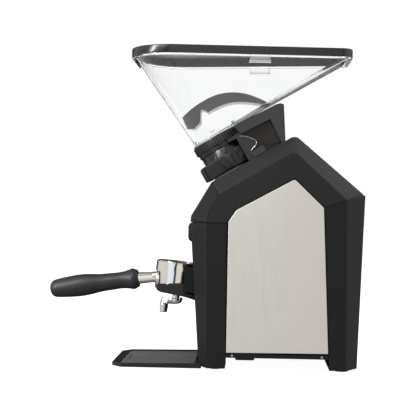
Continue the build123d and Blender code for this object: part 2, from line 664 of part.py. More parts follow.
def twin_spout():
    """Screwed boss with an open channel that turns down at its front end."""
    boss = disc(SPOUT_RADIUS, -BOWL_DEPTH - 13, -BOWL_DEPTH - 0.1) - disc(5.5, -70, 0)
    outer = [(-37, 98), (-37, 92), (-42, 88), (-55, 88.5), (-59, 75), (-70, 75), (-67.5, 99)]
    inner = [(-40, 110), (-40, 94), (-43, 91), (-57, 91.5), (-61.5, 70), (-67, 70), (-64.5, 110)]
    return BOWL * boss + (side_prism(outer, 8) - side_prism(inner, 5.5))


def handle_frame():
    run = (HANDLE_ROOT[0] - HANDLE_TIP[0], HANDLE_ROOT[1] - HANDLE_TIP[1])
    return Plane((HANDLE_TIP[0], 0, HANDLE_TIP[1]), x_dir=(0, 1, 0), z_dir=(run[0], 0, run[1])).location


HANDLE_LENGTH = hypot(HANDLE_ROOT[0] - HANDLE_TIP[0], HANDLE_ROOT[1] - HANDLE_TIP[1])


def handle_grip():
    crown = [(0, 0), (5.5, 0.7), (11.5, 4.5), (14.4, 14), (16.2, 32), (16.8, 52), (15.6, 66), (14.0, 78),
             (13.0, 100), (12.8, 111), (13.8, 120), (16.2, 128.5)]
    side = Spline(*crown)
    shoulder = Polyline(crown[-1], (16.0, 132), (12.6, HANDLE_LENGTH), (0, HANDLE_LENGTH), (0, 0))
    shape = revolve(Plane.XZ * make_face(Curve() + [side, shoulder]), Axis.Z)
    return handle_frame() * (shape - disc(TANG_RADIUS, 70, 200))


def handle_rod():
    """Tapered rod between the grip and the bowl, with a tang inside the grip."""
    tang = handle_frame() * disc(TANG_RADIUS - 0.2, 80, HANDLE_LENGTH + 2)
    along = (cos(radians(ROD_TILT)), 0, sin(radians(ROD_TILT)))
    start = Plane((HANDLE_ROOT[0], 0, HANDLE_ROOT[1]), x_dir=(0, 1, 0), z_dir=along).location
    taper = start * Pos(0, 0, 17) * Cone(ROD_RADIUS, ROD_END_RADIUS, 34)
    taper -= handle_frame() * disc(30, 0, HANDLE_LENGTH + 0.05)
    return taper + tang - BOWL * (disc(BOWL_RADIUS + 0.05, -80, 20) + rod_socket(SOCKET_RADIUS + 0.05))


# ---- fork and switches ----
def fork():
    """U-shaped cradle: two arms beside the bowl, a slotted floor under it and a back plate."""
    front, shoulder = FORK_FRONT, FORK_SHOULDER
    arm = side_slab([(front, FORK_TOP - 3), (front + 2, FORK_TOP), (shoulder[0], FORK_TOP), shoulder,
                     (RECESS_BACK, 145), (RECESS_BACK, 86), (-12, 97), (-27.4, 101.8), (-64.2, 108.6),
                     (front, 112.5)],
                    FORK_INNER, FORK_OUTER)
    arm -= side_slab([(-26, 110.0), (0, 103.7), (0, 100.9), (-26, 107.5)], 0, 60)
    floor = side_prism([(-68, 110.2), (-31, 105.6), (-31, 103.2), (RECESS_BACK, 90), (RECESS_BACK, 86),
                        (-12, 97), (-27.4, 101.8), (-64.2, 108.6), (-68, 109.6)], FORK_INNER + 0.5)
    floor -= block(-90, -44, -SPOUT_RADIUS - 1.5, SPOUT_RADIUS + 1.5, 60, 130)
    floor -= BOWL * disc(SPOUT_RADIUS + 1.5, -80, -30)
    back = block(RECESS_BACK - 4, RECESS_BACK, -FORK_OUTER, FORK_OUTER, 86, 143)
    back -= Pos(RECESS_BACK, 0, PLUNGER_HEIGHT) * Rot(0, 90, 0) * Cylinder(PLUNGER_RADIUS + 0.08, 30)
    return both_sides(arm) + floor + back


PLUNGER_HEIGHT, PLUNGER_RADIUS = 132.0, 5.0


def dose_plunger():
    stem = Pos(17, 0, PLUNGER_HEIGHT) * Rot(0, 90, 0) * Cylinder(PLUNGER_RADIUS, 42)
    stop = Pos(36.5, 0, PLUNGER_HEIGHT) * Rot(0, 90, 0) * Cylinder(PLUNGER_RADIUS + 2.5, 3)
    return stem + stop


def dose_switch():
    case = block(46, 58, -12, 12, PLUNGER_HEIGHT - 10, PLUNGER_HEIGHT + 10)
    arms = block(33, 58, -16, -12, PLUNGER_HEIGHT - 8, PLUNGER_HEIGHT + 8)
    return case + both_sides(arms)


def control_board():
    board = block(60, 160, 2, 72, BASE_TOP + 8, BASE_TOP + 9.6)
    for i in range(5):
        board += block(70 + 18 * i, 80 + 18 * i, 14, 30, BASE_TOP + 9.6, BASE_TOP + 18)
    return board


def motor_capacitor():
    can = Pos(110, -45, BASE_TOP + 16) * Rot(0, 90, 0) * Cylinder(15, 60)
    return can + block(90, 130, -55, -35, BASE_TOP, BASE_TOP + 4)


# ---- tray ----
def tray_plate(grow, low, high):
    """Slab in the tray's plan, which has chamfered front corners and ears beside the legs."""
    middle, half = TRAY_FRONT + TRAY_CHAMFER_X, TRAY_HALF_WIDTH
    front_half = half - TRAY_CHAMFER_Y
    waist = STRIP_HALF_WIDTH - 1
    plan = grown([(TRAY_REAR, -waist), (TRAY_EAR, -half), (middle, -half), (TRAY_FRONT, -front_half),
                  (TRAY_FRONT, front_half), (middle, half), (TRAY_EAR, half), (TRAY_REAR, waist)], grow)
    return extrude(Pos(0, 0, low) * make_face(Polyline(*plan, close=True)), high - low)


def tray_wedge(drop):
    """Everything under the tray's top, which rises slightly towards the rear, or under a plane below it."""
    top = [(TRAY_FRONT - 5, TRAY_FRONT_TOP - drop), (TRAY_TONGUE + 5, TRAY_REAR_TOP - drop)]
    return side_prism([*top, (TRAY_TONGUE + 5, -5), (TRAY_FRONT - 5, -5)], 120)


def tray():
    half = TRAY_TONGUE_HALF
    dish = tray_plate(0, TRAY_BOTTOM, 20)
    dish += block(TRAY_REAR - 1, TRAY_TONGUE, -half, half, TRAY_BOTTOM, 20)
    well = tray_plate(-5, TRAY_FLOOR, 20) & block(TRAY_FRONT + 11.5, 20, -120, 120, 0, 20)
    well += block(TRAY_REAR - 8, TRAY_TONGUE - 4, -half + 4, half - 4, TRAY_FLOOR, 20)
    return (dish - well) & tray_wedge(0)


def tray_mat():
    """Lining with a ledge all round and a sunk middle."""
    mat = tray_plate(-5.4, TRAY_FLOOR, 20) & block(TRAY_FRONT + 11.9, 20, -120, 120, 0, 20)
    mat -= block(TRAY_FRONT + 19, TRAY_REAR - 9, -34, 34, TRAY_WELL, 20)
    return mat & tray_wedge(2)


NODES = {
    "head_cover": head_cover,
    "display_visor": visor,
    "display_window": display_window,
    "display_board": display_board,
    "front_pillar_near": lambda: front_pillar(-1),
    "front_pillar_far": lambda: front_pillar(1),
    "rear_cover": rear_cover,
    "base_plate": base_plate,
    "side_liner_near": lambda: side_liner(-1),
    "side_liner_far": lambda: side_liner(1),
    "side_panel_near": lambda: side_panel(-1),
    "side_panel_far": lambda: side_panel(1),
    "recess_panel": recess_panel,
    "rubber_feet": rubber_feet,
    "panel_screws": panel_screws,
    "power_inlet": power_inlet,
    "rocker_frame": rocker_frame,
    "power_rocker": power_rocker,
    "throat": throat,
    "adjust_knob": adjust_knob,
    "upper_burr_holder": upper_burr_holder,
    "upper_burr": upper_burr,
    "lower_burr": lower_burr,
    "burr_carrier": burr_carrier,
    "burr_chamber": burr_chamber,
    "chute": chute,
    "nozzle": nozzle,
    "clump_flap": clump_flap,
    "motor_mount": motor_mount,
    "motor_housing": motor_housing,
    "motor_end": motor_end,
    "bearing_upper": lambda: bearing(MOTOR_TOP - 11.5),
    "bearing_lower": lambda: bearing(MOTOR_END + 6.5),
    "stator": stator,
    "rotor_core": rotor_core,
    "motor_fan": motor_fan,
    "drive_shaft": drive_shaft,
    "lock_ring": lock_ring,
    "hopper_bracket": hopper_bracket,
    "interlock_block": interlock_block,
    "interlock_plunger": interlock_plunger,
    "hopper": hopper,
    "finger_guard": finger_guard,
    "lid": lid,
    "lid_seal": lid_seal,
    "filter_bowl": filter_bowl,
    "filter_basket": filter_basket,
    "spout": twin_spout,
    "handle_rod": handle_rod,
    "handle_grip": handle_grip,
    "fork": fork,
    "dose_plunger": dose_plunger,
    "dose_switch": dose_switch,
    "control_board": control_board,
    "motor_capacitor": motor_capacitor,
    "tray": tray,
    "tray_mat": tray_mat,
    "button_single": lambda: set_button(BUTTON_PLACES[0]),
    "button_double": lambda: set_button(BUTTON_PLACES[1]),
    "button_start": lambda: set_button(BUTTON_PLACES[2]),
}

os.makedirs("parts", exist_ok=True)
for name, make in NODES.items():
    export_step(make(), f"parts/{name}.step")
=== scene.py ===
import json
from math import atan2, cos, pi, radians, sin

import bmesh
import bpy
from mathutils import Matrix, Vector


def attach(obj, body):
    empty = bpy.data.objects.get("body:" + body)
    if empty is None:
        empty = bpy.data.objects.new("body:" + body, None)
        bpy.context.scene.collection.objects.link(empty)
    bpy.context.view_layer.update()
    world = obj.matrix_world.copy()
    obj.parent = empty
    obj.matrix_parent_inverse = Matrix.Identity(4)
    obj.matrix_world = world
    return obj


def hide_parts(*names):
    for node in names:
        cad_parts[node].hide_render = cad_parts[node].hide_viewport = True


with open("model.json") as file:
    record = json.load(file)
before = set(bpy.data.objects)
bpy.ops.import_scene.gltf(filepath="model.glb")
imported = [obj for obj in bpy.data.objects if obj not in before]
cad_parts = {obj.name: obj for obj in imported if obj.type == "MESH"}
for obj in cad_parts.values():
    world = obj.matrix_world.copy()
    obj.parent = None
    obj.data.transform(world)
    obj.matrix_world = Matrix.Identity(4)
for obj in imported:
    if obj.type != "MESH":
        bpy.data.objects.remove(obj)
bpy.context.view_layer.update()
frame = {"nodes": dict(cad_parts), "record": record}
NODES = frame["nodes"]
SIDES = {"near": -1, "far": 1}      # the camera stands on the -Y side of the grinder


# ---- camera ----
IMAGE_SIZE = 416
CAMERA_YAW = 2.6                    # degrees, turned towards the grinder's front
CAMERA_ROLL = 0.8                   # degrees
CAMERA_DISTANCE = 1.65
CAMERA_TARGET = Vector((0.004, 0.0, 0.239))
CAMERA_LENS = 92.7
CAMERA_SHIFT_Y = -2 / IMAGE_SIZE
CAMERA_CLIP_END = 50


def make_camera():
    yaw = radians(CAMERA_YAW)
    forward = Vector((-sin(yaw), cos(yaw), 0))
    right = Vector((cos(yaw), sin(yaw), 0))
    camera = bpy.data.objects.new("camera", bpy.data.cameras.new("camera"))
    bpy.context.scene.collection.objects.link(camera)
    turn = Matrix((right, Vector((0, 0, 1)), -forward)).transposed().to_4x4()
    place = Matrix.Translation(CAMERA_TARGET - CAMERA_DISTANCE * forward)
    camera.matrix_world = place @ turn @ Matrix.Rotation(radians(CAMERA_ROLL), 4, "Z")
    camera.data.lens = CAMERA_LENS
    camera.data.shift_y = CAMERA_SHIFT_Y
    camera.data.clip_end = CAMERA_CLIP_END
    bpy.context.scene.camera = camera


# ---- shader nodes ----
def node_tree(owner):
    """Emptied node tree of a world or material."""
    owner.use_nodes = True
    owner.node_tree.nodes.clear()
    return owner.node_tree


def add_node(tree, kind, inputs=None, **settings):
    """Node with its settings; each input is a constant, or another node's output to link."""
    made = tree.nodes.new(kind)
    for name, value in settings.items():
        setattr(made, name, value)
    for key, value in (inputs or {}).items():
        if isinstance(value, bpy.types.NodeSocket):
            tree.links.new(value, made.inputs[key])
        else:
            made.inputs[key].default_value = value
    return made


def calculate(tree, operation, *values):
    return add_node(tree, "ShaderNodeMath", dict(enumerate(values)), operation=operation).outputs[0]


def remap(tree, value, **ends):
    """The value moved from one range to another; the ends are from_min, from_max, to_min and to_max."""
    inputs = {name.replace("_", " ").title(): end for name, end in ends.items()}
    return add_node(tree, "ShaderNodeMapRange", {"Value": value, **inputs}).outputs["Result"]


def mix_colors(tree, a, b, factor, blend_type="MIX"):
    inputs = {"Factor": factor, "A": a, "B": b}
    return add_node(tree, "ShaderNodeMix", inputs, data_type="RGBA", blend_type=blend_type).outputs["Result"]


def noise(tree, place, scale, detail):
    inputs = {"Vector": place, "Scale": scale, "Detail": detail}
    return add_node(tree, "ShaderNodeTexNoise", inputs).outputs["Fac"]


def color_ramp(tree, value, stops, mode="EASE"):
    """Ramp through (position, grey level or colour) stops."""
    ramp = add_node(tree, "ShaderNodeValToRGB", {"Fac": value})
    ramp.color_ramp.interpolation = mode
    elements = ramp.color_ramp.elements
    elements.remove(elements[1])
    for number, (position, level) in enumerate(stops):
        element = elements[0] if number == 0 else elements.new(position)
        element.position = position
        color = level if isinstance(level, tuple) else (level, level, level)
        element.color = (*color, 1)
    return ramp.outputs["Color"]


# ---- light and floor ----
WARM, PALE, COOL, DARK = (0.70, 0.665, 0.61), (0.86, 0.80, 0.73), (0.84, 0.92, 0.98), 0.035
# Up from straight below at 0 to straight above at 1: the light's level, and how it lifts the screens.
HEIGHT_STOPS = [(0.0, 0.10), (0.38, 0.12), (0.5, 0.46), (0.62, 0.62), (0.80, 0.72), (1.0, 0.75)]
LIFT_STOPS = [(0.0, 0.55), (0.45, 0.9), (0.55, 1.08), (1.0, 1.2)]
# Round the room: 0.5 is towards -Y, 0 and 1 towards +Y, and the half below 0.5 is towards -X.
AROUND_STOPS = [
    (0.0, DARK), (0.11, DARK), (0.16, WARM), (0.353, WARM), (0.363, COOL), (0.443, COOL),
    (0.456, DARK), (0.472, DARK), (0.487, PALE), (0.548, PALE), (0.562, DARK), (0.585, DARK),
    (0.62, WARM), (0.70, COOL), (0.80, WARM), (0.89, DARK), (1.0, DARK),
]
STUDIO_STRENGTH = 0.95
BACKDROP_STRENGTH = 1.02
WHITE = (1, 1, 1, 1)


def make_world():
    """White behind the grinder; for reflections a soft room with pale screens, for light a plain gradient."""
    world = bpy.data.worlds.new("studio")
    bpy.context.scene.world = world
    tree = node_tree(world)
    ray = add_node(tree, "ShaderNodeLightPath").outputs
    place = add_node(tree, "ShaderNodeTexCoord").outputs["Generated"]
    way = add_node(tree, "ShaderNodeSeparateXYZ", {0: place}).outputs
    height = remap(tree, way["Z"], from_min=-1)
    turn = calculate(tree, "ARCTAN2", way["X"], calculate(tree, "MULTIPLY", way["Y"], -1))
    around = remap(tree, turn, from_min=-pi, from_max=pi)
    screens = color_ramp(tree, around, AROUND_STOPS, "LINEAR")
    lift = color_ramp(tree, height, LIFT_STOPS)
    room = mix_colors(tree, screens, lift, 1, "MULTIPLY")
    light = mix_colors(tree, color_ramp(tree, height, HEIGHT_STOPS), room, ray["Is Glossy Ray"])
    studio = add_node(tree, "ShaderNodeBackground", {"Color": light, "Strength": STUDIO_STRENGTH})
    backdrop = add_node(tree, "ShaderNodeBackground", {"Color": WHITE, "Strength": BACKDROP_STRENGTH})
    seen = calculate(tree, "MAXIMUM", ray["Is Camera Ray"], ray["Is Transmission Ray"])
    both = add_node(tree, "ShaderNodeMixShader", {"Fac": seen, 1: studio.outputs[0], 2: backdrop.outputs[0]})
    add_node(tree, "ShaderNodeOutputWorld", {"Surface": both.outputs[0]})


def softbox(name, place, aim, size, power):
    lamp = bpy.data.lights.new(name, "AREA")
    lamp.shape = "RECTANGLE"
    lamp.size, lamp.size_y = size
    lamp.energy = power
    box = bpy.data.objects.new(name, lamp)
    bpy.context.scene.collection.objects.link(box)
    box.location = place
    box.rotation_euler = (Vector(aim) - Vector(place)).to_track_quat("-Z", "Y").to_euler()
    return box


def make_lights():
    """Key light, a rear light without reflections, and a strip that shows only in reflections."""
    softbox("key_front_left", place=(-0.42, -0.62, 0.80), aim=(0.05, -0.09, 0.25), size=(0.4, 0.4), power=3.2)
    rear = softbox("rear_top", place=(0.85, 0.05, 0.95), aim=(0.2, 0, 0.3), size=(0.5, 0.5), power=12.0)
    rear.visible_glossy = False
    strip = softbox("left_strip", place=(-1.09, -0.92, 0.64), aim=(-0.1, -0.05, 0.47), size=(0.20, 0.8),
                    power=13.0)
    strip.visible_diffuse = False


FLOOR_REACH = 12
FLOOR_DROP = 0.0003             # keeps the floor clear of the feet
FLOOR_GLOW = 0.97
FLOOR_GREY = (0.45, 0.45, 0.45, 1)


def make_floor():
    mesh = bpy.data.meshes.new("floor")
    corners = [(FLOOR_REACH * x, FLOOR_REACH * y, 0) for x, y in ((-1, -1), (1, -1), (1, 1), (-1, 1))]
    mesh.from_pydata(corners, [], [(0, 1, 2, 3)])
    floor = bpy.data.objects.new("floor", mesh)
    bpy.context.scene.collection.objects.link(floor)
    floor.location.z = -FLOOR_DROP
    floor.visible_diffuse = False
    floor.visible_glossy = False
    paper = bpy.data.materials.new("paper_floor")
    tree = node_tree(paper)
    glow = add_node(tree, "ShaderNodeEmission", {"Strength": FLOOR_GLOW})
    matt = add_node(tree, "ShaderNodeBsdfDiffuse", {"Color": FLOOR_GREY})
    both = add_node(tree, "ShaderNodeAddShader", {0: glow.outputs[0], 1: matt.outputs[0]})
    add_node(tree, "ShaderNodeOutputMaterial", {"Surface": both.outputs[0]})
    mesh.materials.append(paper)


# ---- materials ----
NOISE_LOW, NOISE_HIGH = 0.3, 0.7        # the middle of the noise, where nearly all of it lies
BLOTCH_DETAIL, GRAIN_DETAIL = 3, 2


def surface(name, color, roughness, metallic=0.0, spread=0.12, grain=900.0, bump=0.15, depth=0.00015,
            blotch=9.0, wear=0.06, stretch=(1, 1, 1), **constants):
    """Principled material with soft colour blotches, a fine grain in its roughness and a matching bump."""
    made = bpy.data.materials.new(name)
    tree = node_tree(made)
    place = add_node(tree, "ShaderNodeTexCoord").outputs["Object"]
    stretched = add_node(tree, "ShaderNodeMapping", {"Vector": place, "Scale": stretch}).outputs["Vector"]
    soft = noise(tree, place, blotch, BLOTCH_DETAIL)
    fine = noise(tree, stretched, grain, GRAIN_DETAIL)

    def between(value, low, high):
        return remap(tree, value, from_min=NOISE_LOW, from_max=NOISE_HIGH, to_min=low, to_max=high)

    average = calculate(tree, "MULTIPLY_ADD", soft, 0.5, calculate(tree, "MULTIPLY", fine, 0.5))
    darker = (*[c * (1 - spread) for c in color], 1)
    lighter = (*[min(1, c * (1 + spread)) for c in color], 1)
    inputs = {
        "Base Color": mix_colors(tree, darker, lighter, between(average, 0, 1)),
        "Roughness": between(fine, roughness - wear, roughness + wear),
        "Metallic": metallic,
    }
    if bump:
        relief = add_node(tree, "ShaderNodeBump", {"Strength": bump, "Distance": depth, "Height": fine})
        inputs["Normal"] = relief.outputs["Normal"]
    for socket, value in constants.items():
        inputs[socket.replace("_", " ")] = value
    shader = add_node(tree, "ShaderNodeBsdfPrincipled", inputs)
    add_node(tree, "ShaderNodeOutputMaterial", {"Surface": shader.outputs[0]})
    return made


CLEAR = dict(roughness=0.02, spread=0.01, grain=60, bump=0.02, depth=0.0002, wear=0.012,
             IOR=1.47, Transmission_Weight=1.0)
LOOKS = {
    "black_plastic": dict(color=(0.016, 0.0162, 0.0165), roughness=0.44, bump=0.22, Specular_IOR_Level=0.22),
    "head_plastic": dict(color=(0.030, 0.0307, 0.0305), roughness=0.5, bump=0.22, Specular_IOR_Level=0.2),
    "fork_plastic": dict(color=(0.030, 0.031, 0.033), roughness=0.4, bump=0.2, Specular_IOR_Level=0.3),
    "tray_plastic": dict(color=(0.024, 0.024, 0.024), roughness=0.4, bump=0.25, Specular_IOR_Level=0.3),
    "guard_plastic": dict(color=(0.016, 0.018, 0.021), roughness=0.25, bump=0.05, Specular_IOR_Level=0.6),
    # Grey-blue tint that paints the dark refraction streaks in the hopper's clear neck.
    "clear_painted_streaks": dict(color=(0.78, 0.84, 0.88), **CLEAR),
    "bracket_plastic": dict(color=(0.050, 0.054, 0.059), roughness=0.30, bump=0.12, Specular_IOR_Level=0.5),
    "lid_plastic": dict(color=(0.018, 0.020, 0.023), roughness=0.26, bump=0.03, wear=0.03,
                        Specular_IOR_Level=0.45, Coat_Weight=0.4, Coat_Roughness=0.12),
    "knob_plastic": dict(color=(0.015, 0.0155, 0.0175), roughness=0.26, bump=0.1, Specular_IOR_Level=0.6),
    "ring_plastic": dict(color=(0.055, 0.055, 0.057), roughness=0.34, bump=0.1, Specular_IOR_Level=0.6),
    "liner_plastic": dict(color=(0.004, 0.004, 0.004), roughness=0.7, Specular_IOR_Level=0.1),
    "panel_steel": dict(color=(0.865, 0.85, 0.82), roughness=0.45, metallic=1.0, spread=0.03, grain=1.0,
                        bump=0.05, depth=0.0001, wear=0.05, blotch=7, stretch=(1400, 1400, 28)),
    "clear_plastic": dict(color=(0.985, 0.99, 0.995), **CLEAR),
    "smoke_plastic": dict(color=(0.034, 0.038, 0.044), roughness=0.22, bump=0.05, wear=0.04,
                          Coat_Weight=0.25, Coat_Roughness=0.12),
    "seal_rubber": dict(color=(0.008, 0.008, 0.008), roughness=0.75, bump=0.3, depth=0.0002),
    "display_glass": dict(color=(0.006, 0.007, 0.009), roughness=0.08, bump=0.01, wear=0.02,
                          Coat_Weight=1.0, Coat_Roughness=0.03),
    "button_metal": dict(color=(0.62, 0.62, 0.61), roughness=0.3, metallic=1.0, spread=0.04, grain=1500),
    "chrome": dict(color=(0.93, 0.925, 0.91), roughness=0.05, metallic=1.0, spread=0.015, grain=40, bump=0,
                   wear=0.004),
    "basket_steel": dict(color=(0.66, 0.66, 0.65), roughness=0.2, metallic=1.0, spread=0.04, grain=1.0,
                         bump=0.04, stretch=(30, 30, 1500)),
    "grip_rubber": dict(color=(0.028, 0.0285, 0.031), roughness=0.42, bump=0.25, grain=1300, blotch=22,
                        Sheen_Weight=0.08, Sheen_Roughness=0.5),
    "screw_steel": dict(color=(0.50, 0.50, 0.48), roughness=0.25, metallic=1.0, spread=0.05),
    "red_plastic": dict(color=(0.02, 0.02, 0.021), roughness=0.25, Coat_Weight=0.4),
    "burr_steel": dict(color=(0.5, 0.5, 0.5), roughness=0.3, metallic=1.0, grain=2000),
    "cast_alloy": dict(color=(0.42, 0.43, 0.44), roughness=0.5, metallic=1.0, grain=600, bump=0.3),
    "motor_steel": dict(color=(0.10, 0.10, 0.11), roughness=0.5, bump=0.2),
    "grey_plastic": dict(color=(0.20, 0.20, 0.21), roughness=0.5),
    "circuit_board": dict(color=(0.015, 0.10, 0.04), roughness=0.4, grain=250, spread=0.3),
    # Mid grey on the tray's mat, painted to stand in for the grazing reflection of the white backdrop.
    "tray_mat_painted_reflection": dict(color=(0.20, 0.20, 0.20), roughness=0.38, bump=0.3, grain=700, depth=0.0002),
    "lit_segment": dict(color=(0.55, 0.72, 0.80), roughness=0.3, bump=0.02, Emission_Strength=1.2,
                        Emission_Color=(0.6, 0.85, 1.0, 1)),
}

STACK_ROOT = Vector((0.046987, 0, 0.2948))      # where the burrs' axis leaves the sloped roof
STACK_TILT = radians(30)
# Near-black of the painted shade in the ring's grooves and on the fork's shoulder.
PAINTED_SHADE_BLACK = (0.003, 0.003, 0.003)
PAINTED_SHADES = {                      # painted shade: what is measured, dark up to, plain from, the dark colour
    "ring_plastic": ("radius", 0.0419, 0.0425, PAINTED_SHADE_BLACK),
    "bracket_plastic": ("side", 0.0430, 0.0495, (0.008, 0.008, 0.008)),
    "fork_plastic": ("reach", 0.0290, 0.0310, PAINTED_SHADE_BLACK),
}
MEASURES = {"radius": (1, 1, 0), "side": (0, 1, 0), "reach": (1, 0, 0)}


def paint_shade_by(made, measure, low, high, dark):
    """Painted shade in grooves and recesses: darken a material where a distance in object space is small."""
    tree = made.node_tree
    shader = next(node for node in tree.nodes if node.type == "BSDF_PRINCIPLED")
    plain = shader.inputs["Base Color"].links[0].from_socket
    inputs = {"Vector": add_node(tree, "ShaderNodeTexCoord").outputs["Object"]}
    if measure == "radius":     # round the burrs' axis
        inputs.update({"Location": STACK_ROOT, "Rotation": (0, -STACK_TILT, 0)})
    place = add_node(tree, "ShaderNodeMapping", inputs, vector_type="TEXTURE").outputs["Vector"]
    parts = {0: place, 1: MEASURES[measure]}
    kept = add_node(tree, "ShaderNodeVectorMath", parts, operation="MULTIPLY").outputs["Vector"]
    length = add_node(tree, "ShaderNodeVectorMath", {0: kept}, operation="LENGTH").outputs["Value"]
    step = remap(tree, length, from_min=low, from_max=high)
    tree.links.new(mix_colors(tree, (*dark, 1), plain, step), shader.inputs["Base Color"])


def make_materials():
    materials = {name: surface(name, **look) for name, look in LOOKS.items()}
    for name, shade in PAINTED_SHADES.items():
        paint_shade_by(materials[name], *shade)
    return materials


# Nodes that look different from the rest of their material slot.
OWN_MATERIALS = {
    "tray_mat": "tray_mat_painted_reflection", "head_cover": "head_plastic", "hopper_bracket": "bracket_plastic",
    "fork": "fork_plastic", "tray": "tray_plastic", "finger_guard": "guard_plastic", "lid": "lid_plastic",
}


def paint_nodes():
    for part in frame["record"]["subparts"]:
        node = NODES[part["node"]]
        node.data.materials.clear()
        node.data.materials.append(MATERIALS[OWN_MATERIALS.get(part["node"], part["material_slot"])])


# ---- edges ----
SOFT_EDGES = {
    "head_cover": 0.0011, "display_visor": 0.0008, "front_pillar_near": 0.0012, "front_pillar_far": 0.0012,
    "rear_cover": 0.0012, "base_plate": 0.0006, "side_panel_near": 0.0005, "side_panel_far": 0.0005,
    "hopper_bracket": 0.0009, "fork": 0.0009, "tray": 0.0006, "tray_mat": 0.0003, "adjust_knob": 0.0008,
    "interlock_block": 0.0006, "lid": 0.0006, "lock_ring": 0.0004,
}
WELD_DISTANCE = 1e-6
FLAT_ANGLE = 0.6                # degrees, below which two faces count as one
CAD_EDGE_ANGLE, CAD_EDGE_STEPS = 22, 2
OWN_EDGE_ANGLE, OWN_EDGE_STEPS = 25, 3


def round_edges(piece, width, angle, steps):
    """Bevel on the edges sharper than angle, in degrees."""
    bevel = piece.modifiers.new("round", "BEVEL")
    bevel.width = width
    bevel.segments = steps
    bevel.limit_method = "ANGLE"
    bevel.angle_limit = radians(angle)
    bevel.harden_normals = True


def soften_edges():
    """Small rounded edges on the CAD pieces, as moulded parts have."""
    for name, width in SOFT_EDGES.items():
        weld = NODES[name].modifiers.new("weld", "WELD")
        weld.merge_threshold = WELD_DISTANCE
        flat = NODES[name].modifiers.new("flat", "DECIMATE")
        flat.decimate_type = "DISSOLVE"
        flat.angle_limit = radians(FLAT_ANGLE)
        round_edges(NODES[name], width, CAD_EDGE_ANGLE, CAD_EDGE_STEPS)


# ---- making added pieces ----
def finish_piece(name, bm, material, body, bevel=0.0, smooth=False):
    """Object from a bmesh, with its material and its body."""
    bmesh.ops.recalc_face_normals(bm, faces=bm.faces)
    mesh = bpy.data.meshes.new(name)
    bm.to_mesh(mesh)
    bm.free()
    for face in mesh.polygons:
        face.use_smooth = smooth
    made = bpy.data.objects.new(name, mesh)
    bpy.context.scene.collection.objects.link(made)
    mesh.materials.append(MATERIALS[material])
    if bevel:
        round_edges(made, bevel, OWN_EDGE_ANGLE, OWN_EDGE_STEPS)
    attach(made, body)
    return made


def add_prism(bm, outline, start, run):
    """Solid with a flat outline of points, moved to start and swept along run."""
    low = [bm.verts.new(Vector(point) + Vector(start)) for point in outline]
    high = [bm.verts.new(vert.co + Vector(run)) for vert in low]
    bm.faces.new(low)
    bm.faces.new(list(reversed(high)))
    for i, vert in enumerate(low):
        j = (i + 1) % len(low)
        bm.faces.new([vert, high[i], high[j], low[j]])


def bridge(bm, rows, closed=False):
    """Faces between neighbouring rows of points."""
    for a, b in zip(rows, rows[1:]):
        for k in range(len(a) - (0 if closed else 1)):
            n = (k + 1) % len(a)
            bm.faces.new([a[k], a[n], b[n], b[k]])


def add_turned(bm, profile, steps, place):
    """Closed ring with a profile of (radius, height) points; place turns (x, y, z) into a position."""
    rings = [[bm.verts.new(place(radius * cos(2 * pi * i / steps), radius * sin(2 * pi * i / steps), height))
              for i in range(steps)] for radius, height in profile]
    bridge(bm, [*rings, rings[0]], closed=True)


def side_outline(points):
    """(x, z) points in millimetres as places on the plane Y = 0."""
    return [(x / 1000, 0, z / 1000) for x, z in points]


def in_stack(u, y, n):
    """Place from millimetres along, across and above the sloped roof, at the burrs' axis."""
    along = Vector((cos(STACK_TILT), 0, sin(STACK_TILT)))
    up = Vector((-sin(STACK_TILT), 0, cos(STACK_TILT)))
    return STACK_ROOT + (along * u + up * n) / 1000 + Vector((0, y / 1000, 0))


# ---- lid and hopper ----
LID_HOOK_OUTLINE = [(-113.2, 474), (-109.8, 474), (-109.6, 463), (-106, 457.5), (-103.4, 452.6),
                    (-105.6, 451.8), (-109.3, 457), (-112.2, 464)]
LID_HOOK_WIDTH = 0.034


def make_lid_hook():
    """Tapering clip that hangs from the lid's front edge."""
    bm = bmesh.new()
    add_prism(bm, side_outline(LID_HOOK_OUTLINE), (0, -LID_HOOK_WIDTH / 2, 0), (0, LID_HOOK_WIDTH, 0))
    finish_piece("lid_hook", bm, "lid_plastic", "lid", bevel=0.0007)


HOPPER_TAPER = atan2(38.0, 323.5)       # the hopper's sides close towards the rear
CLIP_X = 0.0727
CLIP_TABS = {                           # heights, distances from the middle plane, half length
    "tab": ((0.4545, 0.4628), (0.0655, 0.0738), 0.0150),
    "tab_lip": ((0.4516, 0.4543), (0.0648, 0.0742), 0.0162),
}


def make_clip_tabs():
    """Clear tab and its lower lip in the middle of each long side of the hopper's mouth."""
    for label, side in SIDES.items():
        turn = Matrix.Translation((CLIP_X, 0, 0)) @ Matrix.Rotation(-side * HOPPER_TAPER, 4, "Z")
        for part, ((low, high), (inner, outer), half) in CLIP_TABS.items():
            bm = bmesh.new()
            corners = [turn @ Vector((x, side * y, low))
                       for x, y in ((-half, inner), (half, inner), (half, outer), (-half, outer))]
            add_prism(bm, corners, (0, 0, 0), (0, 0, high - low))
            finish_piece(f"{part}_{label}", bm, "clear_plastic", "hopper", bevel=0.0006)


# The neck's flange and lugs: millimetres from the burrs' axis and above the sloped roof, angles in radians.
FLANGE_PROFILE = [(36.9, 60.0), (40.2, 60.0), (40.2, 61.4), (36.9, 61.4)]
FLANGE_STEPS = 64
LUG_COUNT, LUG_TURN = 6, 0.45
LUG_CORNERS = [(37.2, -0.10), (37.2, 0.10), (41.0, 0.09), (41.0, -0.09)]
LUG_LOW, LUG_HIGH = 61.6, 67.5


